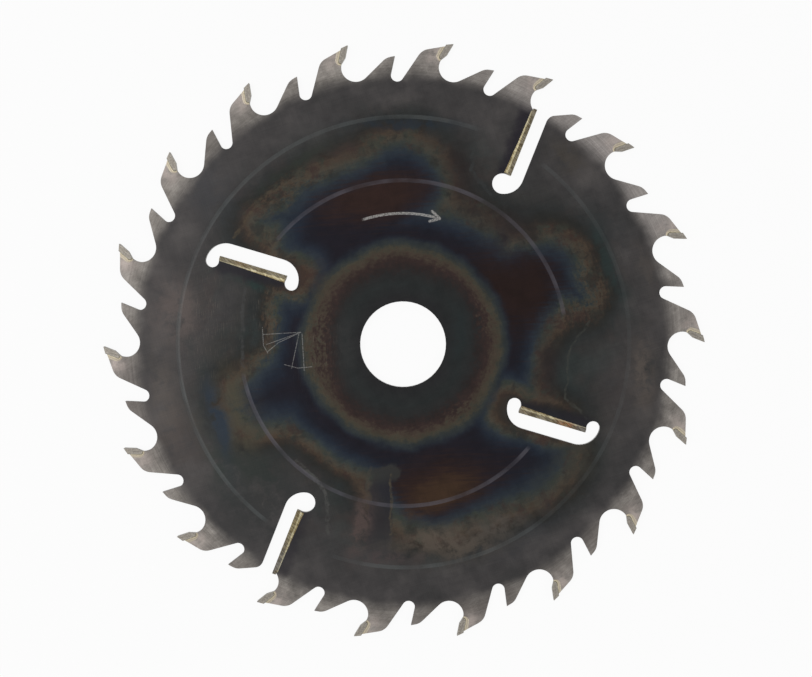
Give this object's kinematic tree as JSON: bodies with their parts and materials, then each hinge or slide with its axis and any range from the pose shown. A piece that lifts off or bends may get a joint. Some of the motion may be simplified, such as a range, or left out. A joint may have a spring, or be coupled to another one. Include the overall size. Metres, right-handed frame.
{
  "type": "circular saw blade",
  "caption": "Carbide-tipped rip-saw blade with plain steel teeth between the tips, wiper strips in open and closed slots, and a round arbor bore.",
  "frame": {"origin": "centre of the arbor bore, in the middle plane of the steel plate", "axes": "+Z along the bore's axis, out of the face that lies up; +X through the cutting edge of the first tip. The teeth cut clockwise seen from +Z. The blade lies flat and rests on its tips at z = -2 mm."},
  "size_m": [0.35, 0.3446, 0.004],
  "materials": {
    "plate_steel": "hardened saw steel, dark, with heat tints and a lighter ground tooth zone",
    "carbide": "ground tungsten carbide, grey",
    "braze": "silver solder, pale yellow, dull"
  },
  "bodies": {
    "root": {"plate": "plate_steel", "tooth_tip_01": "carbide", "tooth_tip_02": "carbide", "tooth_tip_03": "carbide", "tooth_tip_04": "carbide", "tooth_tip_05": "carbide", "tooth_tip_06": "carbide", "tooth_tip_07": "carbide", "tooth_tip_08": "carbide", "tooth_tip_09": "carbide", "tooth_tip_10": "carbide", "tooth_tip_11": "carbide", "tooth_tip_12": "carbide", "tooth_tip_13": "carbide", "tooth_tip_14": "carbide", "tooth_tip_15": "carbide", "tooth_tip_16": "carbide", "tooth_tip_17": "carbide", "tooth_tip_18": "carbide", "wiper_1": "carbide", "wiper_2": "carbide", "wiper_3": "carbide", "wiper_4": "carbide", "tip_braze_01": "braze", "tip_braze_02": "braze", "tip_braze_03": "braze", "tip_braze_04": "braze", "tip_braze_05": "braze", "tip_braze_06": "braze", "tip_braze_07": "braze", "tip_braze_08": "braze", "tip_braze_09": "braze", "tip_braze_10": "braze", "tip_braze_11": "braze", "tip_braze_12": "braze", "tip_braze_13": "braze", "tip_braze_14": "braze", "tip_braze_15": "braze", "tip_braze_16": "braze", "tip_braze_17": "braze", "tip_braze_18": "braze", "wiper_braze_1": "braze", "wiper_braze_2": "braze", "wiper_braze_3": "braze", "wiper_braze_4": "braze"}
  },
  "joints": []
}
